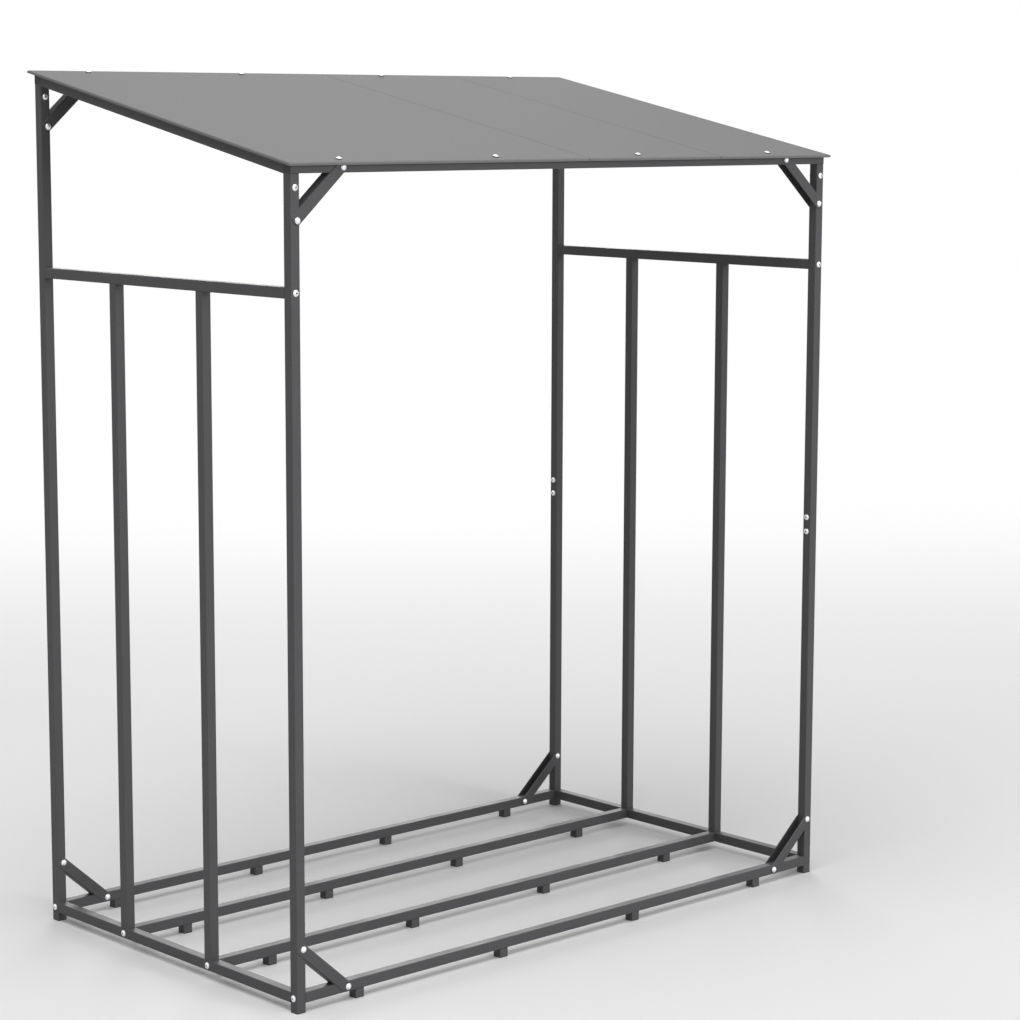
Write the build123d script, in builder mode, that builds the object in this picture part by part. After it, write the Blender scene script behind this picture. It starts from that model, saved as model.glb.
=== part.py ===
from build123d import *
from math import atan2, cos, degrees, hypot, sin, tan
import os

# A free-standing log store: a bolted frame of square steel tube under a sloping sheet roof.
# The open front faces -Y, the ground is at z = 0, and the origin is at the middle of the
# floor that the store covers. Every length is in millimetres.

# Overall sizes of the frame, across the outer faces of its posts
frame_width = 1390
frame_depth = 790

# The square tube that every bar of the frame is cut from
tube = 20
tube_wall = 0.8
tube_corner = 1.5

# Heights above the ground
base_height = 17.5          # underside of the base rails
splice_height = 752         # where the lower and upper posts meet
eaves_height = 1521         # top of the front beam
side_rail_drop = 236        # from the top of the front beam to the underside of the side rails
roof_rise = 155             # how much higher the back beam stands

# Setting out, measured from the frame's outer front or left face
near_bar_setback = 270      # middle of the front side bars and of the front inner rail
far_bar_setback = 542       # middle of the back side bars and of the back inner rail
first_foot_inset = 146      # middle of the first foot on each rail
last_foot_inset = 170       # middle of the last foot, from the right face
feet_per_rail = 4

# Plastic caps that close the tube ends
cap_flange = 2.0
cap_plug_depth = 12
cap_clearance = 0.15

# Sleeves inside the post splices
sleeve_length = 110
sleeve_wall = 1.2
sleeve_clearance = 0.2

# Corner braces: pressed channels that lap over the post and over the rail or beam
brace_run = 117             # bolt on the rail or beam, from the post's outer face
brace_rise = 91             # bolt on the post, from the axis of the rail or beam
brace_post_inset = 14       # bolt on the post, from the post's outer face
brace_sheet = 1.5
brace_free_edge = 9.5       # from the bolts' line to the open edge of the channel
brace_web_edge = 13         # from the bolts' line to the outside of its web
brace_bend = 2.5            # outer radius of the bends between web and flanges
brace_end = 8               # metal beyond each bolt
brace_corner = 4
brace_setback = 0.8         # flanges stop this far short of the frame's outer edges

# Roof sheets, with their edges turned down at the roof's rim
roof_sheet = 0.6
roof_overhang = 10
roof_lip = 4.5
roof_bend = 3
roof_seams = (0.511, 0.767)     # places of the two seams, as shares of the roof's width
seam_gap = 0.2

# Derived sizes
left = -frame_width / 2
right = frame_width / 2
front = -frame_depth / 2
back = frame_depth / 2
half = tube / 2
bore = tube - 2 * tube_wall
inner_width = frame_width - 2 * tube
inner_depth = frame_depth - 2 * tube
base_axis = base_height + half
beam_length = frame_width - 2 * cap_flange
back_beam_top = eaves_height + roof_rise
post_middles = {"left": left + half, "right": right - half}
post_rows = {"front": front + half, "back": back - half}
beam_tops = {"front": eaves_height, "back": back_beam_top}
bar_rows = {"front": front + near_bar_setback, "back": front + far_bar_setback}
side_rail_height = eaves_height - side_rail_drop
foot_spacing = (frame_width - first_foot_inset - last_foot_inset) / (feet_per_rail - 1)
foot_places = [left + first_foot_inset + i * foot_spacing for i in range(feet_per_rail)]
roof_slope = atan2(roof_rise, frame_depth - tube)

os.makedirs("parts", exist_ok=True)


def save(piece, name):
    """Label a finished piece and write it to its own file."""
    piece.part.label = name
    export_step(piece.part, f"parts/{name}.step")


def across(x, y, z):
    """A plane that looks along +X, for a tube that runs from left to right."""
    return Plane(origin=(x, y, z), x_dir=(0, 1, 0), z_dir=(1, 0, 0))


def inwards(x, y, z):
    """A plane that looks along +Y, for a tube that runs from front to back."""
    return Plane(origin=(x, y, z), x_dir=(1, 0, 0), z_dir=(0, 1, 0))


def upwards(x, y, z):
    """A level plane, for a tube that stands up."""
    return Plane(origin=(x, y, z), x_dir=(1, 0, 0), z_dir=(0, 0, 1))


def tube_run(name, planes, length):
    """One length of square tube from each of the planes."""
    with BuildPart() as piece:
        for plane in planes:
            with BuildSketch(plane):
                RectangleRounded(tube, tube, tube_corner)
                RectangleRounded(bore, bore, tube_corner - tube_wall, mode=Mode.SUBTRACT)
            extrude(amount=length)
    save(piece, name)


def end_caps(name, planes):
    """A flanged plastic cap at each plane, whose plug points along the plane's normal."""
    plug = bore - 2 * cap_clearance
    with BuildPart() as piece:
        for plane in planes:
            with BuildSketch(plane):
                RectangleRounded(tube, tube, tube_corner)
            extrude(amount=cap_flange)
            with BuildSketch(plane.offset(cap_flange)):
                RectangleRounded(plug, plug, tube_corner - tube_wall)
            extrude(amount=cap_plug_depth)
    save(piece, name)


# Posts, each in a lower and an upper half
for row, y in post_rows.items():
    for side, x in post_middles.items():
        lower_length = splice_height - cap_flange
        upper_length = beam_tops[row] - tube - splice_height
        tube_run(f"post_{row}_{side}_lower", [upwards(x, y, cap_flange)], lower_length)
        tube_run(f"post_{row}_{side}_upper", [upwards(x, y, splice_height)], upper_length)

# Sleeves that join the halves of the posts from the inside
sleeve = bore - 2 * sleeve_clearance
with BuildPart() as sleeves:
    for x in post_middles.values():
        for y in post_rows.values():
            with BuildSketch(upwards(x, y, splice_height)):
                RectangleRounded(sleeve, sleeve, tube_corner - tube_wall)
                Rectangle(sleeve - 2 * sleeve_wall, sleeve - 2 * sleeve_wall, mode=Mode.SUBTRACT)
            extrude(amount=sleeve_length / 2, both=True)
save(sleeves, "post_splice_sleeves")

# Base rails: two between the posts of each row, two inner ones, and one on each side
for row, y in post_rows.items():
    tube_run(f"base_rail_{row}", [across(left + tube, y, base_axis)], inner_width)
for row, y in bar_rows.items():
    tube_run(f"inner_rail_{row}", [across(left + tube, y, base_axis)], inner_width)
for side, x in post_middles.items():
    tube_run(f"base_rail_{side}", [inwards(x, front + tube, base_axis)], inner_depth)

# Feet: short stubs of tube under the rails, and plastic caps under these and the posts
foot_rows = {
    "front": post_rows["front"],
    "inner_front": bar_rows["front"],
    "inner_back": bar_rows["back"],
    "back": post_rows["back"],
}
for row, y in foot_rows.items():
    stubs = [upwards(x, y, cap_flange) for x in foot_places]
    tube_run(f"feet_{row}", stubs, base_height - cap_flange)
end_caps("rail_foot_caps", [upwards(x, y, 0) for y in foot_rows.values() for x in foot_places])
end_caps("post_foot_caps", [upwards(x, y, 0) for y in post_rows.values() for x in post_middles.values()])

# Sides: a rail at shoulder height, and two bars that stand on the base rail below it
bar_bottom = base_height + tube
for side, x in post_middles.items():
    side_axis = side_rail_height + half
    tube_run(f"side_rail_{side}", [inwards(x, front + tube, side_axis)], inner_depth)
    for row, y in bar_rows.items():
        tube_run(f"side_bar_{side}_{row}", [upwards(x, y, bar_bottom)], side_rail_height - bar_bottom)

# Beams over the posts, closed by caps that finish flush with the posts
for row, y in post_rows.items():
    beam_axis = beam_tops[row] - half
    tube_run(f"beam_{row}", [across(left + cap_flange, y, beam_axis)], beam_length)
cap_planes = []
for row, y in post_rows.items():
    middle = (y, beam_tops[row] - half)
    cap_planes.append(Plane(origin=(left, *middle), x_dir=(0, 1, 0), z_dir=(1, 0, 0)))
    cap_planes.append(Plane(origin=(right, *middle), x_dir=(0, 1, 0), z_dir=(-1, 0, 0)))
end_caps("beam_end_caps", cap_planes)

# Rafters: tube at the roof's slope, cut plumb to fit between the beams. Each starts level
# with the top of the front beam, so it runs a little below the sheets, which rest on the beams.
rafter_drop = tube * tan(roof_slope)
plumb = tube / cos(roof_slope)
plumb_wall = tube_wall / cos(roof_slope)


def rafter_profile(drop_top, drop_bottom, spare):
    """The rafter's side view between two depths below the roof, run on by a spare length."""
    start = front + tube - spare
    end = back - tube + spare
    height = {y: eaves_height + (y - front) * tan(roof_slope) for y in (start, end)}
    Polygon(
        (start, height[start] - drop_bottom),
        (end, height[end] - drop_bottom),
        (end, height[end] - drop_top),
        (start, height[start] - drop_top),
        align=None,
    )


roof_run = Axis((0, 0, 0), (0, cos(roof_slope), sin(roof_slope)))
for side, x in post_middles.items():
    with BuildPart() as rafter:
        with BuildSketch(Plane.YZ.offset(x)):
            rafter_profile(rafter_drop, rafter_drop + plumb, 0)
        extrude(amount=half, both=True)
        fillet(rafter.edges().filter_by(roof_run), tube_corner)
        with BuildSketch(Plane.YZ.offset(x)):
            rafter_profile(rafter_drop + plumb_wall, rafter_drop + plumb - plumb_wall, tube)
        extrude(amount=bore / 2, both=True, mode=Mode.SUBTRACT)
    save(rafter, f"rafter_{side}")

# Corner braces, drawn in a plane whose x runs along the rail and whose y runs along the post
brace_span = (brace_run - brace_post_inset, brace_rise)
brace_length = hypot(*brace_span)
brace_angle = degrees(atan2(brace_rise, -brace_span[0]))
brace_height = brace_free_edge + brace_web_edge
brace_middle = (brace_post_inset + brace_span[0] / 2, brace_rise / 2)
web_shift = (brace_web_edge - brace_free_edge) / 2


def corner_plane(x, y, z, side_sign, post_sign):
    """A plane at a corner of the frame, turned so that its x and y lead into the bay."""
    x_dir = Vector(side_sign, 0, 0)
    return Plane(origin=(x, y, z), x_dir=x_dir, z_dir=x_dir.cross(Vector(0, 0, post_sign)))


def brace_outline():
    """The brace's side view, cut off at the outer edges of the post and the rail."""
    with Locations(Location((*brace_middle, 0), (0, 0, brace_angle))):
        with Locations((0, web_shift)):
            RectangleRounded(brace_length + 2 * brace_end, brace_height, brace_corner)
    reach = brace_run + brace_rise
    with Locations((brace_setback, brace_setback - half)):
        Rectangle(reach, reach, align=(Align.MIN, Align.MIN), mode=Mode.INTERSECT)


for row, y in post_rows.items():
    for side, side_sign in (("left", 1), ("right", -1)):
        x = left if side == "left" else right
        corners = {"bottom": (base_axis, 1), "top": (beam_tops[row] - half, -1)}
        for level, (z, post_sign) in corners.items():
            plane = corner_plane(x, y, z, side_sign, post_sign)
            lengthways = Axis(plane.origin, plane.y_dir * brace_rise - plane.x_dir * brace_span[0])
            with BuildPart() as brace:
                with BuildSketch(plane):
                    brace_outline()
                extrude(amount=half + brace_sheet, both=True)
                web_edges = brace.edges().filter_by(lengthways).sort_by_distance(plane.origin)[:2]
                fillet(web_edges, brace_bend)
                with BuildSketch(plane):
                    brace_outline()
                    with BuildSketch(mode=Mode.SUBTRACT):
                        with Locations(Location((*brace_middle, 0), (0, 0, brace_angle))):
                            with Locations((0, brace_web_edge - brace_sheet / 2)):
                                Rectangle(2 * brace_length, brace_sheet)
                        with Locations((tube, half)):
                            Rectangle(brace_run, brace_rise, align=(Align.MIN, Align.MIN),
                                      mode=Mode.INTERSECT)
                extrude(amount=half, both=True, mode=Mode.SUBTRACT)
            save(brace, f"brace_{row}_{side}_{level}")

# Roof sheets, side by side on the beams
roof_plane = Plane(
    origin=(left - roof_overhang, front, eaves_height),
    x_dir=(1, 0, 0),
    z_dir=(0, -sin(roof_slope), cos(roof_slope)),
)
roof_width = frame_width + 2 * roof_overhang
bend_drop = (roof_bend - roof_sheet) * sin(roof_slope)
slope_start = (roof_bend - roof_overhang - bend_drop) / cos(roof_slope) - roof_bend
slope_end = (frame_depth + roof_overhang - roof_lip * sin(roof_slope)) / cos(roof_slope)
sheet_edges = [0, *roof_seams, 1]
sheet_names = ("left", "middle", "right")
for i, name in enumerate(sheet_names):
    first = i == 0
    last = i == len(sheet_names) - 1
    start = sheet_edges[i] * roof_width + (0 if first else seam_gap / 2)
    end = sheet_edges[i + 1] * roof_width - (0 if last else seam_gap / 2)
    with BuildPart() as sheet:
        with BuildSketch(roof_plane.offset(-roof_lip)):
            with Locations((start, slope_start)):
                Rectangle(end - start, slope_end - slope_start, align=(Align.MIN, Align.MIN))
        extrude(amount=roof_lip + roof_sheet)
        top = sheet.faces().sort_by(Axis((0, 0, 0), roof_plane.z_dir))[-1]
        rim = top.edges().filter_by(Axis.X)
        sides = top.edges().filter_by(roof_run).sort_by(Axis.X)
        rim += sides[:1] if first else []
        rim += sides[-1:] if last else []
        fillet(rim, roof_bend)
        open_faces = [sheet.faces().sort_by(Axis((0, 0, 0), roof_plane.z_dir))[0]]
        walls = sheet.faces().filter_by(Axis.X).sort_by(Axis.X)
        open_faces += [] if first else [walls[0]]
        open_faces += [] if last else [walls[-1]]
        offset(amount=-roof_sheet, openings=open_faces)
    save(sheet, f"roof_sheet_{name}")
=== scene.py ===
# %% [markdown]
# # Dressing an open log store
#
# The store is a bolted frame of square steel tube under a sloping sheet roof. Its tubes,
# braces, caps and sheets arrive as finished solids at their real size, so this lesson adds
# what the solids leave out: the fasteners, and the finish of every surface.
#
# The first step loads those solids. They stay where they are from here on, and everything
# new is placed by measuring them.

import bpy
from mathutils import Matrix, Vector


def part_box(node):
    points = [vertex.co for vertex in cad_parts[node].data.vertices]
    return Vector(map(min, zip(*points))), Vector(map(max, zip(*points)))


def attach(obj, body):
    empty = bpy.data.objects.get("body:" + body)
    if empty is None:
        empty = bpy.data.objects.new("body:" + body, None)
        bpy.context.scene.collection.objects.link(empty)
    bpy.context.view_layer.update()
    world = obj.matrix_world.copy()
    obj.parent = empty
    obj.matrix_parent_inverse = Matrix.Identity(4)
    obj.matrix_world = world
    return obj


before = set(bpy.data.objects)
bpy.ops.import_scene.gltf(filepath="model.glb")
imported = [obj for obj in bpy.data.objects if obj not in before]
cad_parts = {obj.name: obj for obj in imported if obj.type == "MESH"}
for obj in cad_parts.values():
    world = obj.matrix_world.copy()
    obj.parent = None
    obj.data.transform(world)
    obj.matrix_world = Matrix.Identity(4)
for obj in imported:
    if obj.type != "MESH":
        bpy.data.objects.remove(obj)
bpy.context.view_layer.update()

# %% [markdown]
# ## Units and two small helpers
#
# Blender counts in metres and a metalworker counts in millimetres, so one value turns the
# second into the first. Colours are written as the hex numbers that a paint chart gives.
# The shaders want linear light, so one function converts them.

# %% Millimetres and colours
from math import cos, pi, radians, sqrt

import bmesh
import bpy
from mathutils import Matrix, Vector

MM = 0.001


def linear(hex_colour):
    """The linear colour, with alpha, of an sRGB hex number such as "#5a5a5c"."""
    channels = [int(hex_colour[i:i + 2], 16) / 255 for i in (1, 3, 5)]
    return [c / 12.92 if c <= 0.04045 else ((c + 0.055) / 1.055) ** 2.4 for c in channels] + [1]


print("mid grey is", round(linear("#808080")[0], 3), "in linear light")

# %% [markdown]
# Every material below is a small graph of nodes. Adding a node by hand takes a line for
# the node, one for each setting and one for each link. This helper does the three at once,
# so the graphs stay short enough to read.


# %% A helper for shader graphs
def add(tree, kind, inputs, **settings):
    """Add a node: its settings by name, and its inputs as values or as links from sockets."""
    node = tree.nodes.new(kind)
    for name, value in settings.items():
        setattr(node, name, value)
    for name, value in inputs.items():
        if isinstance(value, bpy.types.NodeSocket):
            tree.links.new(value, node.inputs[name])
        else:
            node.inputs[name].default_value = value
    return node


# %% [markdown]
# ## Camera
#
# The picture was taken by someone who stood to the left of the store, about five metres
# from its nearest post, with a short telephoto lens at head height. The lens looks a
# little down, so the uprights lean together towards the ground.

# %% Place the camera
camera_place = Vector((-3.626, -4.138, 1.616))
camera_yaw = radians(42.641)
camera_pitch = radians(8.377)
camera_roll = radians(0.170)
lens_mm = 96.70
sensor_mm = 36
store_middle = Vector((0, 0, 0.8))

lens = bpy.data.cameras.new("camera")
lens.lens = lens_mm
lens.sensor_width = sensor_mm
lens.clip_end = 200         # metres, so that the whole floor is seen
camera = bpy.data.objects.new("camera", lens)
camera_turn = (Matrix.Rotation(-camera_yaw, 4, "Z")
               @ Matrix.Rotation(radians(90) - camera_pitch, 4, "X")
               @ Matrix.Rotation(camera_roll, 4, "Z"))
camera.matrix_world = Matrix.Translation(camera_place) @ camera_turn
bpy.context.scene.collection.objects.link(camera)
bpy.context.scene.camera = camera
print("camera stands", round((camera_place - store_middle).length, 2), "m away")

# %% [markdown]
# ## Studio
#
# A dark frame reads best against white, in soft light. The world gives a little light from
# all round. It shows as plain white only to the camera and in reflections, so the paint is
# lit at a plain level while the background stays bright.

# %% Light the world
sky_level = 0.30

world = bpy.data.worlds.new("studio")
world.use_nodes = True
sky = world.node_tree
sky.nodes.clear()
rays = add(sky, "ShaderNodeLightPath", {})
seen = add(sky, "ShaderNodeMath",
           {0: rays.outputs["Is Camera Ray"], 1: rays.outputs["Is Glossy Ray"]}, operation="MAXIMUM")
seen = add(sky, "ShaderNodeMath",
           {0: seen.outputs[0], 1: rays.outputs["Is Transmission Ray"]}, operation="MAXIMUM")
sky_strength = add(sky, "ShaderNodeMapRange", {"Value": seen.outputs[0], "To Min": sky_level})
sky_light = add(sky, "ShaderNodeBackground",
                {"Color": linear("#ffffff"), "Strength": sky_strength.outputs["Result"]})
add(sky, "ShaderNodeOutputWorld", {"Surface": sky_light.outputs[0]})
bpy.context.scene.world = world
print("sky: white to look at,", sky_level, "to be lit by")

# %% [markdown]
# Three lamps shape the faces. In the picture the upward faces are the lightest, the front
# faces show about half their light and the left faces less again. So a wide lamp hangs
# overhead, and a smaller one stands in front. It stands low, or else the roof's rim would
# throw a dark line on the beam. The overhead lamp hangs a little to the left, which lets
# it reach the side rails under the roof's edge. The third lamp stands behind, where the
# picture doesn't see its light, so that the store also reads well from the back. The
# power of each is worked out from the light that should arrive, so a lamp can be moved
# without a new guess.

# %% Hang the lamps
lamps = {                   # direction, distance and width in metres, level on a white card
    "overhead": ((-0.30, -0.18, 0.93), 9.0, 8.0, 0.66),
    "front": ((0.20, -0.95, 0.22), 9.0, 3.5, 0.34),
    "back": ((0.60, 0.75, 0.28), 9.0, 3.5, 0.30),
}
for name, (direction, distance, width, level) in lamps.items():
    light = bpy.data.lights.new(name, "AREA")
    light.shape = "SQUARE"
    light.size = width
    light.energy = level * (pi * distance) ** 2     # light thins with the square of the way
    direction = Vector(direction).normalized()
    lamp = bpy.data.objects.new(name, light)
    lamp.matrix_world = (Matrix.Translation(store_middle + distance * direction)
                         @ direction.to_track_quat("Z", "Y").to_matrix().to_4x4())
    bpy.context.scene.collection.objects.link(lamp)
    print(name, "lamp of", round(light.energy), "W")

# %% [markdown]
# The floor is a pale disc. Near the store it takes the shadow. Further out it fades into
# the white of the background, so that no horizon line crosses the picture. A pale floor
# throws much light back up, which would lift the shaded sides of the tubes, so to the
# light that bounces off it the floor is a darker grey.

# %% Lay the floor
floor_sides = 64
floor_radius = 40           # this and the next two are in metres
fade_from = 2.0
fade_to = 6.5

bm = bmesh.new()
bmesh.ops.create_circle(bm, cap_ends=True, radius=floor_radius, segments=floor_sides)
floor_mesh = bpy.data.meshes.new("floor")
bm.to_mesh(floor_mesh)
bm.free()
floor = bpy.data.objects.new("floor", floor_mesh)
bpy.context.scene.collection.objects.link(floor)

floor_paint = bpy.data.materials.new("pale studio floor")
floor_paint.use_nodes = True
tree = floor_paint.node_tree
tree.nodes.clear()
place = add(tree, "ShaderNodeTexCoord", {})
away = add(tree, "ShaderNodeVectorMath", {0: place.outputs["Object"]}, operation="LENGTH")
fade = add(tree, "ShaderNodeMapRange", {"Value": away.outputs["Value"], "From Min": fade_from,
                                        "From Max": fade_to}, interpolation_type="SMOOTHSTEP")
ray = add(tree, "ShaderNodeLightPath", {})
share = add(tree, "ShaderNodeMath", {0: fade.outputs["Result"], 1: ray.outputs["Is Camera Ray"]},
            operation="MULTIPLY")
tone = add(tree, "ShaderNodeMix", {"Factor": ray.outputs["Is Diffuse Ray"], "A": linear("#f4f4f4"),
                                   "B": linear("#b8b8b8")}, data_type="RGBA")
matt = add(tree, "ShaderNodeBsdfDiffuse", {"Color": tone.outputs["Result"]})
glow = add(tree, "ShaderNodeEmission", {"Color": linear("#ffffff"), "Strength": 1})
both = add(tree, "ShaderNodeMixShader", {0: share.outputs[0], 1: matt.outputs[0], 2: glow.outputs[0]})
add(tree, "ShaderNodeOutputMaterial", {"Surface": both.outputs[0]})
floor_mesh.materials.append(floor_paint)
print("floor fades to white from", fade_from, "to", fade_to, "m")

# %% [markdown]
# ## Powder-coated steel
#
# The tubes are polyester powder coat, baked on. It flows just before it sets, which leaves
# a satin skin with the fine dimples called orange peel, about two millimetres apart. The
# grey is anthracite. A second, wide noise makes the gloss uneven, as the spray gun does.
# The dimples are drawn four millimetres wide, because the camera sees two millimetres as
# one pixel.

# %% Powder coat
peel_mm = 4.0
peel_depth_mm = 0.05
cloud_mm = 90
noise_low = 0.3             # nearly all of a noise lies between these two values
noise_high = 0.7
polymer_ior = 1.5           # of powder coat, coil coat and plastic alike


def from_mm(size):
    """The Scale of a noise texture whose features are this many millimetres wide."""
    return 1 / (size * MM)


def start_material(name):
    """A new material with an empty graph, and the socket of its Object coordinates."""
    material = bpy.data.materials.new(name)
    material.use_nodes = True
    material.node_tree.nodes.clear()
    coordinates = add(material.node_tree, "ShaderNodeTexCoord", {})
    return material, material.node_tree, coordinates.outputs["Object"]


powder_coat, tree, spot = start_material("anthracite powder coat")
clouds = add(tree, "ShaderNodeTexNoise", {"Vector": spot, "Scale": from_mm(cloud_mm), "Detail": 3})
peel = add(tree, "ShaderNodeTexNoise", {"Vector": spot, "Scale": from_mm(peel_mm), "Detail": 1})
shade = add(tree, "ShaderNodeMapRange", {"Value": clouds.outputs["Fac"], "From Min": noise_low,
                                         "From Max": noise_high})
colour = add(tree, "ShaderNodeMix", {"Factor": shade.outputs["Result"], "A": linear("#565658"),
                                     "B": linear("#5a5a5c")}, data_type="RGBA")
gloss = add(tree, "ShaderNodeMapRange", {"Value": clouds.outputs["Fac"], "From Min": noise_low,
                                         "From Max": noise_high, "To Min": 0.48, "To Max": 0.58})
dimples = add(tree, "ShaderNodeBump", {"Height": peel.outputs["Fac"], "Strength": 0.5,
                                       "Distance": peel_depth_mm * MM})
steel = add(tree, "ShaderNodeBsdfPrincipled", {
    "Base Color": colour.outputs["Result"], "Roughness": gloss.outputs["Result"],
    "IOR": polymer_ior, "Specular IOR Level": 0.25, "Normal": dimples.outputs["Normal"]})
add(tree, "ShaderNodeOutputMaterial", {"Surface": steel.outputs[0]})
print(powder_coat.name, "has", len(tree.nodes), "nodes")

# %% [markdown]
# ## Coil-coated roof sheet
#
# Roof sheet is painted as a flat coil in the mill, before it is bent, so its grey is very
# even and quite matt. What the eye catches is a faint grain in the paint, and the slight
# waves that thin sheet keeps from the coil. The sheets meet edge to edge. A painted shade
# draws a faint line along each joint, where shade falls in the gap, which a Math node finds
# by its distance from the joint. The place of the joints is measured on the solids.

# %% Coil coat
grain_mm = 5.0
grain_depth_mm = 0.03
wave_mm = 260
wave_depth_mm = 0.6
joint_shade_mm = 1.8               # how far the painted joint shade reaches on each side of a joint

sheet_order = ["roof_sheet_left", "roof_sheet_middle", "roof_sheet_right"]
joints = [(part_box(a)[1].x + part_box(b)[0].x) / 2 for a, b in zip(sheet_order, sheet_order[1:])]
print("the roof is jointed at x =", [round(x, 3) for x in joints])

coil_coat, tree, spot = start_material("matt grey coil coat")
waves = add(tree, "ShaderNodeTexNoise", {"Vector": spot, "Scale": from_mm(wave_mm), "Detail": 1})
grain = add(tree, "ShaderNodeTexNoise", {"Vector": spot, "Scale": from_mm(grain_mm), "Detail": 2})
shade = add(tree, "ShaderNodeMapRange", {"Value": grain.outputs["Fac"], "From Min": noise_low,
                                         "From Max": noise_high})
colour = add(tree, "ShaderNodeMix", {"Factor": shade.outputs["Result"], "A": linear("#7e7e7e"),
                                     "B": linear("#828282")}, data_type="RGBA")
spot_parts = add(tree, "ShaderNodeSeparateXYZ", {"Vector": spot})
# Painted shade: a darker grey line along each joint between the sheets, where shade falls in the gap.
joint_shade_masks = [add(tree, "ShaderNodeMath", {0: spot_parts.outputs["X"], 1: x, 2: joint_shade_mm * MM},
             operation="COMPARE").outputs[0] for x in joints]
joint_shade = add(tree, "ShaderNodeMath", {0: joint_shade_masks[0], 1: joint_shade_masks[1]}, operation="ADD")
colour = add(tree, "ShaderNodeMix", {"Factor": joint_shade.outputs[0], "A": colour.outputs["Result"],
                                     "B": linear("#6a6a6a")}, data_type="RGBA")
broad = add(tree, "ShaderNodeBump", {"Height": waves.outputs["Fac"], "Strength": 0.3,
                                     "Distance": wave_depth_mm * MM})
fine = add(tree, "ShaderNodeBump", {"Height": grain.outputs["Fac"], "Strength": 0.2,
                                    "Distance": grain_depth_mm * MM, "Normal": broad.outputs["Normal"]})
coat = add(tree, "ShaderNodeBsdfPrincipled", {
    "Base Color": colour.outputs["Result"], "Roughness": 0.75, "IOR": polymer_ior,
    "Specular IOR Level": 0.15, "Normal": fine.outputs["Normal"]})
add(tree, "ShaderNodeOutputMaterial", {"Surface": coat.outputs[0]})

# %% [markdown]
# ## Moulded plastic caps
#
# The caps that close the tubes are polyethylene from a spark-eroded mould, which prints a
# fine matt texture on them. They are dyed to the frame's grey, but look flatter, because
# the texture scatters the light.

# %% Cap plastic
texture_mm = 1.5
pit_depth_mm = 0.04

plastic, tree, spot = start_material("moulded polyethylene")
eroded = add(tree, "ShaderNodeTexNoise", {"Vector": spot, "Scale": from_mm(texture_mm), "Detail": 2})
rough = add(tree, "ShaderNodeMapRange", {"Value": eroded.outputs["Fac"], "From Min": noise_low,
                                         "From Max": noise_high, "To Min": 0.55, "To Max": 0.7})
pits = add(tree, "ShaderNodeBump", {"Height": eroded.outputs["Fac"], "Strength": 0.4,
                                    "Distance": pit_depth_mm * MM})
cap = add(tree, "ShaderNodeBsdfPrincipled", {
    "Base Color": linear("#4c4c4e"), "Roughness": rough.outputs["Result"], "IOR": polymer_ior,
    "Specular IOR Level": 0.3, "Normal": pits.outputs["Normal"]})
add(tree, "ShaderNodeOutputMaterial", {"Surface": cap.outputs[0]})
print(plastic.name, "has", len(tree.nodes), "nodes")

# %% [markdown]
# ## Bright zinc
#
# Bolts, nuts and washers are plated with bright zinc. It is a metal, so its colour is in
# its reflection and not under it. The plating bath leaves it smooth but a little milky.

# %% Zinc plate
milk_mm = 3.0

zinc, tree, spot = start_material("bright zinc plate")
milk = add(tree, "ShaderNodeTexNoise", {"Vector": spot, "Scale": from_mm(milk_mm), "Detail": 2})
rough = add(tree, "ShaderNodeMapRange", {"Value": milk.outputs["Fac"], "From Min": noise_low,
                                         "From Max": noise_high, "To Min": 0.42, "To Max": 0.55})
plate = add(tree, "ShaderNodeBsdfPrincipled", {
    "Base Color": linear("#f2f3f5"), "Metallic": 1.0, "Roughness": rough.outputs["Result"]})
add(tree, "ShaderNodeOutputMaterial", {"Surface": plate.outputs[0]})
print(zinc.name, "has", len(tree.nodes), "nodes")

# %% [markdown]
# The inside of a screw's socket is a duller, darker steel, a painted shade for the light
# that the deep socket traps. It shows as a dark dot in the middle of the head.

# %% Painted shade in the sockets
socket_shade_steel, tree, _ = start_material("socket steel with painted shade")
dull = add(tree, "ShaderNodeBsdfPrincipled", {
    "Base Color": linear("#85837f"), "Metallic": 1.0, "Roughness": 0.6})
add(tree, "ShaderNodeOutputMaterial", {"Surface": dull.outputs[0]})
print(socket_shade_steel.name, "has", len(tree.nodes), "nodes")

# %% [markdown]
# ## Finish the solids
#
# The name of a solid says whether it is painted steel, roof sheet, plastic or zinc. One
# loop gives each its material.

# %% Assign the finishes
finishes = {"frame_steel": powder_coat, "roof_sheet": coil_coat,
            "cap_plastic": plastic, "zinc_steel": zinc}


def finish_of(name):
    """The material slot of a solid, by what the solid is."""
    if name.startswith("roof_sheet"):
        return "roof_sheet"
    if name.endswith("caps"):
        return "cap_plastic"
    if name.endswith("sleeves"):
        return "zinc_steel"
    return "frame_steel"


for name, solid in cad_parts.items():
    solid.data.materials.clear()
    solid.data.materials.append(finishes[finish_of(name)])
print({slot: sum(finish_of(n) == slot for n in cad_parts) for slot in finishes})

# %% [markdown]
# ## A bolt head
#
# The frame is held by bolts with low domed heads. Such a head is turned on a lathe, so it
# is spun here from half of its outline: a short straight edge, then an arc that is worked
# out from the head's width and height. Where the head has a hexagon socket for a key, the
# socket starts round, from the same spin, and its rings are then pulled out to a hexagon.

# %% Turn round shapes
round_steps = 24
same_place = 0.01 * MM      # points nearer than this are one point


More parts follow.
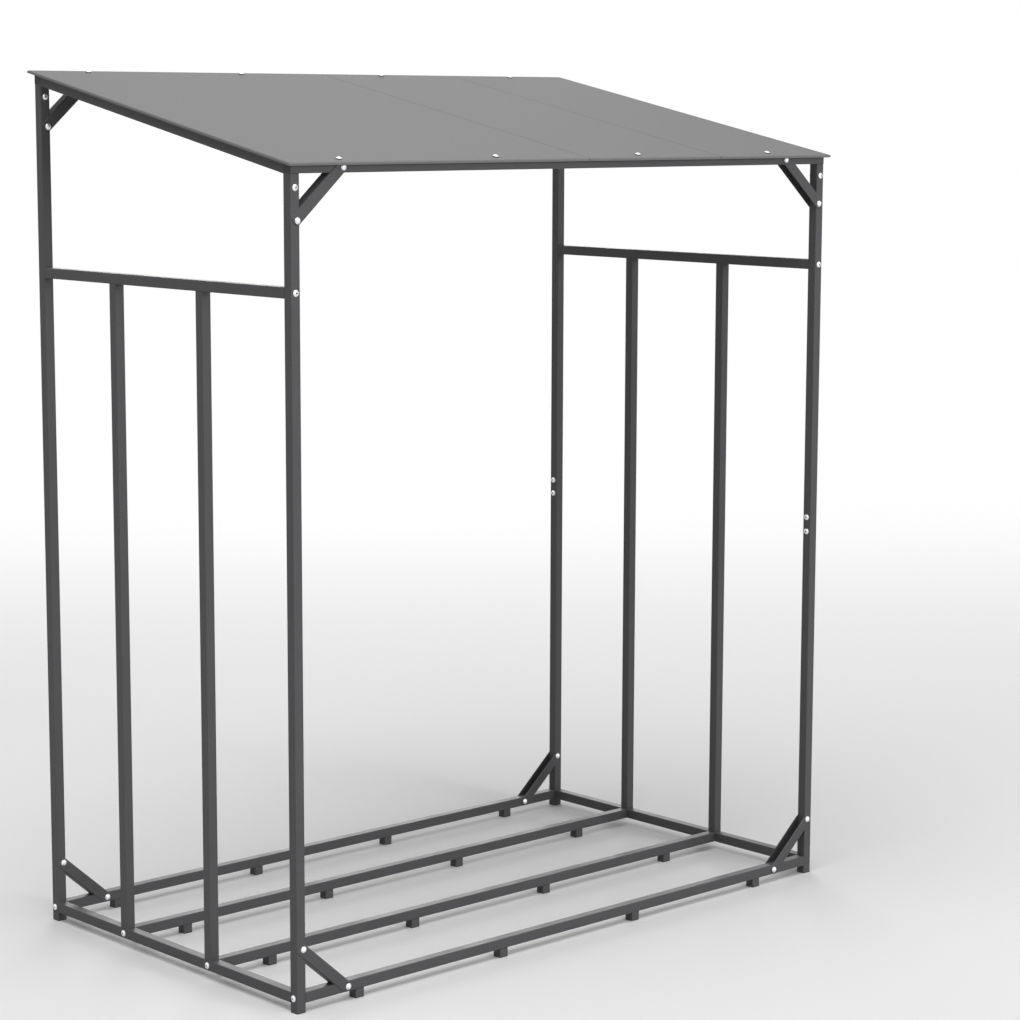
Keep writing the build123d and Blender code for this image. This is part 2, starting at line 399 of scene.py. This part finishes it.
def spin_outline(outline):
    """A closed mesh spun about Z from points (radius, height), in millimetres."""
    bm = bmesh.new()
    verts = [bm.verts.new((radius * MM, 0, height * MM)) for radius, height in outline]
    edges = [bm.edges.new(pair) for pair in zip(verts, verts[1:])]
    bmesh.ops.spin(bm, geom=verts + edges, cent=(0, 0, 0), axis=(0, 0, 1), dvec=(0, 0, 0),
                   angle=2 * pi, steps=round_steps, use_merge=True, use_duplicate=False)
    bmesh.ops.remove_doubles(bm, verts=bm.verts, dist=same_place)
    bmesh.ops.recalc_face_normals(bm, faces=bm.faces)
    return bm


def dome(radius_out, height_out, radius_in, height_in, steps=6):
    """Points of the arc from a dome's edge up to its rim, on a sphere about the axis."""
    centre = (radius_in ** 2 + height_in ** 2 - radius_out ** 2 - height_out ** 2) / (
        2 * (height_in - height_out))
    sphere = sqrt(radius_out ** 2 + (height_out - centre) ** 2)
    radii = [radius_out + (radius_in - radius_out) * i / steps for i in range(steps + 1)]
    return [(r, centre + sqrt(sphere ** 2 - r ** 2)) for r in radii]


# %% [markdown]
# There are two heads. The posts and rails take M6 socket screws. The braces take round
# head bolts, whose dome is a little higher. They have no socket, because a square neck
# under the head holds them.

# %% Make the two heads
head_width = 12.2
round_height = 4.4
socket_height = 3.6
head_edge = 1.2             # height of the straight edge under the dome
head_foot_break = 0.1
socket_across = 4.0
socket_depth = 2.0
socket_chamfer = 0.3
socket_rim = 0.5            # width of the ring between the socket and the dome
socket_margin = 1.01        # a face whose middle is this near the socket's radius is in it

head_radius = head_width / 2
socket_radius = socket_across / 2
head_foot = [(head_radius, head_edge), (head_radius - head_foot_break, 0), (0, 0)]

# A dome's points climb and an outline goes down, so the points are taken in reverse.
round_head = spin_outline([(0, round_height)]
                          + dome(head_radius, head_edge, 0, round_height, steps=8)[-2:0:-1] + head_foot)
socket_floor = socket_height - socket_depth
socket_head = spin_outline([(0, socket_floor), (socket_radius, socket_floor),
                            (socket_radius, socket_height - socket_chamfer)]
                           + dome(head_radius, head_edge, socket_radius + socket_rim,
                                  socket_height)[:0:-1] + head_foot)
sixth = pi / 3
for vert in socket_head.verts:
    if abs(vert.co.xy.length - socket_radius * MM) < same_place:
        angle = (vert.co.xy.angle_signed(Vector((1, 0))) + pi / 6) % sixth - pi / 6
        vert.co.xy /= cos(angle)
# The socket's faces take the second material, a darker steel that paints the shade inside the socket.
for face in socket_head.faces:
    if face.calc_center_median().xy.length < socket_radius * MM * socket_margin:
        face.material_index = 1
print("round head:", len(round_head.faces), "faces, socket head:", len(socket_head.faces), "faces")

# %% [markdown]
# A washer is turned in the same way. The nut is cut from hexagon bar, so it starts as a
# cone of six sides whose two ends are equal, and a bevel takes the sharp points off its
# faces. The end of the bolt stands one thread out of it. Real thread is a helix of one
# millimetre, which looks the same as a stack of rings.

# %% Make the washer, the nut and the bolt's end
washer_width = 12.0
washer_bore = 6.4
washer_height = 1.0
washer_break = 0.25
nut_across = 10.0
nut_height = 3.2
nut_chamfer = 0.5
thread_radius = 3.0
thread_pitch = 1.0
thread_depth = 0.5
threads_showing = 1
thread_start = 1.0          # how far down inside the nut the thread is drawn
tip_break = 0.2             # the bolt's end is turned off in two steps
tip_radius = 2.1
tip_height = 0.7


def smooth_mesh(bm, name, sharp_degrees=35):
    """Finish a mesh: smooth faces, with its real corners marked sharp."""
    for face in bm.faces:
        face.smooth = True
    for edge in bm.edges:
        edge.smooth = edge.calc_face_angle(0) < radians(sharp_degrees)
    mesh = bpy.data.meshes.new(name)
    bm.to_mesh(mesh)
    bm.free()
    return mesh


def join_in(bm, mesh, matrix):
    """Add a copy of a mesh to a bmesh, moved by a matrix."""
    first = len(bm.verts)
    bm.from_mesh(mesh)
    bm.verts.ensure_lookup_table()
    bmesh.ops.transform(bm, matrix=matrix, verts=bm.verts[first:])


washer_radius = washer_width / 2
bore_radius = washer_bore / 2
washer = smooth_mesh(spin_outline([
    (bore_radius, 0), (bore_radius, washer_height), (washer_radius - washer_break, washer_height),
    (washer_radius, washer_height - washer_break), (washer_radius, 0), (bore_radius, 0)]), "washer")

corner_radius = nut_across / sqrt(3) * MM
hexagon = bmesh.new()
bmesh.ops.create_cone(hexagon, cap_ends=True, segments=6, radius1=corner_radius,
                      radius2=corner_radius, depth=nut_height * MM)
bmesh.ops.translate(hexagon, verts=hexagon.verts, vec=(0, 0, (washer_height + nut_height / 2) * MM))
end_edges = [e for e in hexagon.edges if abs(e.verts[0].co.z - e.verts[1].co.z) < same_place]
bmesh.ops.bevel(hexagon, geom=end_edges, offset=nut_chamfer * MM, affect="EDGES", segments=2,
                profile=0.5, material=-1)
hexagon = smooth_mesh(hexagon, "nut")

nut_top = washer_height + nut_height
root_radius = thread_radius - thread_depth
ridges = [(0, nut_top - thread_start), (root_radius, nut_top - thread_start)]
for i in range(threads_showing):
    ridges += [(thread_radius, nut_top + (i + 0.25) * thread_pitch),
               (root_radius, nut_top + (i + 0.75) * thread_pitch)]
tip = nut_top + threads_showing * thread_pitch
ridges += [(thread_radius - tip_break, tip), (tip_radius, tip + tip_height), (0, tip + tip_height)]
shank = smooth_mesh(spin_outline(ridges), "bolt end")

nut = bmesh.new()
for mesh in (washer, hexagon, shank):
    join_in(nut, mesh, Matrix.Identity(4))
nut = smooth_mesh(nut, "nut, washer and bolt end")
round_head = smooth_mesh(round_head, "round head")
socket_head = smooth_mesh(socket_head, "socket head")
print("nut, washer and bolt end:", len(nut.polygons), "faces")

# %% [markdown]
# ## Where the fasteners go
#
# A bolt sits on the surface that it clamps. To find that surface, a straight line is sent
# at the solid from outside: where it lands is the bolt's place, and the way the surface
# faces there is the way the bolt points. Nothing is copied from a drawing, so a bolt can
# neither float nor sink. A second helper copies one bolt to all its places as one piece.
# It turns each a little further, because no two bolts are tightened to the same angle.

# %% Land on a solid
golden_angle = radians(137.5)
reach = 0.2                 # how far outside a solid its line starts, in metres


def land(name, point, outwards):
    """Where a line sent inwards through a point first meets a solid, and how that faces."""
    outwards = Vector(outwards)
    hit, place, normal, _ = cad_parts[name].ray_cast(Vector(point) + reach * outwards, -outwards)
    if not hit:
        raise ValueError(f"no surface of {name} near {point}")
    return place, normal


def fasten(name, mesh, places, slot, inside=None):
    """One piece: a copy of a mesh at each place, each turned a little further on its axis."""
    bm = bmesh.new()
    for i, (place, normal) in enumerate(places):
        turn = normal.to_track_quat("Z", "Y").to_matrix().to_4x4()
        spin = Matrix.Rotation(i * golden_angle, 4, "Z")
        join_in(bm, mesh, Matrix.Translation(place) @ turn @ spin)
    joined = bpy.data.meshes.new(name)
    bm.to_mesh(joined)
    bm.free()
    joined.materials.append(finishes[slot])
    if inside:
        joined.materials.append(inside)
    piece = bpy.data.objects.new(name, joined)
    bpy.context.scene.collection.objects.link(piece)
    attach(piece, "root")
    print(name, len(places), "pieces,", len(joined.polygons), "faces")


# %% [markdown]
# The bolts lie on the middle lines of the posts, rails and beams. Those lines are measured
# once, on the boxes of the solids.


# %% Measure the frame
def middle(name):
    """The middle of a solid's box."""
    low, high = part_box(name)
    return (low + high) / 2


rows = ("front", "back")
sides = {"left": -1, "right": 1}
beam_height = {row: middle(f"beam_{row}").z for row in rows}
base_height = middle("base_rail_front").z
post_place = {(row, side): middle(f"post_{row}_{side}_lower") for row in rows for side in sides}
outer_face = {"left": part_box("beam_end_caps")[0].x, "right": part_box("beam_end_caps")[1].x}
print("beams at", {row: round(z, 3) for row, z in beam_height.items()})

# %% [markdown]
# Each corner brace is clamped by two bolts, one through the post and one through the rail
# or beam. Their heads are on the face towards the front, on the back row too, and their
# nuts are behind.

# %% Bolt the braces
brace_run = 117 * MM        # bolt on the rail or beam, from the post's outer face
brace_rise = 91 * MM        # bolt on the post, from the axis of the rail or beam
brace_inset = 14 * MM       # bolt on the post, from the post's outer face
to_front = (0, -1, 0)
to_back = (0, 1, 0)

brace_points = []
for (row, side), place in post_place.items():
    for end, axis, towards_bay in (("bottom", base_height, 1), ("top", beam_height[row], -1)):
        for run, rise in ((brace_inset, brace_rise), (brace_run, 0)):
            point = (outer_face[side] - sides[side] * run, place.y, axis + towards_bay * rise)
            brace_points.append((f"brace_{row}_{side}_{end}", point))
fasten("brace_bolts", round_head, [land(name, p, to_front) for name, p in brace_points], "zinc_steel")
fasten("brace_nuts", nut, [land(name, p, to_back) for name, p in brace_points], "zinc_steel")

# %% [markdown]
# One more bolt near the top of each post holds the beam on it. The side rails and the
# base rails are screwed on through the posts, into inserts in their ends, so only the
# heads of those show. The inner rails are held through the base rails in the same way.

# %% Bolt the posts and the rails
post_bolt_drop = 34 * MM    # below the axis of the beam
post_points = [(f"post_{row}_{side}_upper", (place.x, place.y, beam_height[row] - post_bolt_drop))
               for (row, side), place in post_place.items()]
fasten("post_bolts", socket_head, [land(name, p, to_front) for name, p in post_points],
       "zinc_steel", socket_shade_steel)
fasten("post_nuts", nut, [land(name, p, to_back) for name, p in post_points], "zinc_steel")

side_rail_height = middle("side_rail_left").z
rail_places = []
for (row, side), place in post_place.items():
    outwards = to_front if row == "front" else to_back
    rail_places.append(land(f"post_{row}_{side}_upper", (place.x, place.y, side_rail_height), outwards))
fasten("side_rail_bolts", socket_head, rail_places, "zinc_steel", socket_shade_steel)

base_places = []
for (row, side), place in post_place.items():
    point = (place.x, place.y, base_height)
    base_places.append(land(f"post_{row}_{side}_lower", point, (sides[side], 0, 0)))
for row in rows:
    y = middle(f"inner_rail_{row}").y
    for side, sign in sides.items():
        rail = f"base_rail_{side}"
        base_places.append(land(rail, (middle(rail).x, y, base_height), (sign, 0, 0)))
fasten("base_bolts", socket_head, base_places, "zinc_steel", socket_shade_steel)

# %% [markdown]
# The posts come in two halves, joined by a sleeve. Two screws on the bay side, one above
# the joint and one below, fix the sleeve in each post.

# %% Screw the splices
splice_gap = 15 * MM        # from the joint to each screw
splice_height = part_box("post_front_left_upper")[0].z
splice_places = []
for (row, side), place in post_place.items():
    for half, step in (("upper", splice_gap), ("lower", -splice_gap)):
        point = (place.x, place.y, splice_height + step)
        splice_places.append(land(f"post_{row}_{side}_{half}", point, (-sides[side], 0, 0)))
fasten("splice_bolts", socket_head, splice_places, "zinc_steel", socket_shade_steel)

# %% [markdown]
# ## Roof screws
#
# The sheets are screwed to the two beams, four screws to a beam. Each has a flat domed
# head that presses a thick rubber seal on the sheet, which shows as a dark rim under the
# head. All of them sit a little behind the middle of their beam.

# %% Screw down the roof
first_screw = 119 * MM      # from the frame's left face
screw_spacing = 371 * MM
screws_per_beam = 4
screw_setback = 4 * MM      # behind the middle of each beam
screw_width = 11.0
screw_flange = 0.8          # how far the flange stands out round the dome
screw_flange_height = 0.9
screw_break = 0.2
screw_height = 2.8
seal_width = 12.0
seal_height = 1.5
seal_foot = 0.3             # how far the rubber bulges past its foot
seal_shoulder = 0.4         # and past its top
seal_curve = 0.5            # height of each bulge

screw_radius = screw_width / 2
head = [(0, screw_height)]
head += dome(screw_radius - screw_flange, screw_flange_height, 0, screw_height)[-2::-1]
head += [(screw_radius - screw_break, screw_flange_height),
         (screw_radius, screw_flange_height - screw_break), (screw_radius, 0), (0, 0)]
screw_head = spin_outline([(r, z + seal_height) for r, z in head])
screw_head = smooth_mesh(screw_head, "roof screw head")
seal_edge = seal_width / 2
seal = smooth_mesh(spin_outline([
    (0, 0), (seal_edge - seal_foot, 0), (seal_edge, seal_curve), (seal_edge, seal_height - seal_curve),
    (seal_edge - seal_shoulder, seal_height), (0, seal_height)]), "roof screw seal")

screw_places = []
for row in rows:
    y = middle(f"beam_{row}").y + screw_setback
    for i in range(screws_per_beam):
        x = outer_face["left"] + first_screw + i * screw_spacing
        sheet = next(n for n in sheet_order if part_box(n)[0].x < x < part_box(n)[1].x)
        screw_places.append(land(sheet, (x, y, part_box(sheet)[1].z), (0, 0, 1)))
fasten("roof_screws", screw_head, screw_places, "zinc_steel")
fasten("roof_screw_seals", seal, screw_places, "cap_plastic")

# %% [markdown]
# ## Display settings
#
# The display settings are the plain ones, so a colour shows as it was written.

# %% Finish
bpy.context.scene.view_settings.view_transform = "Standard"
bpy.context.view_layer.update()
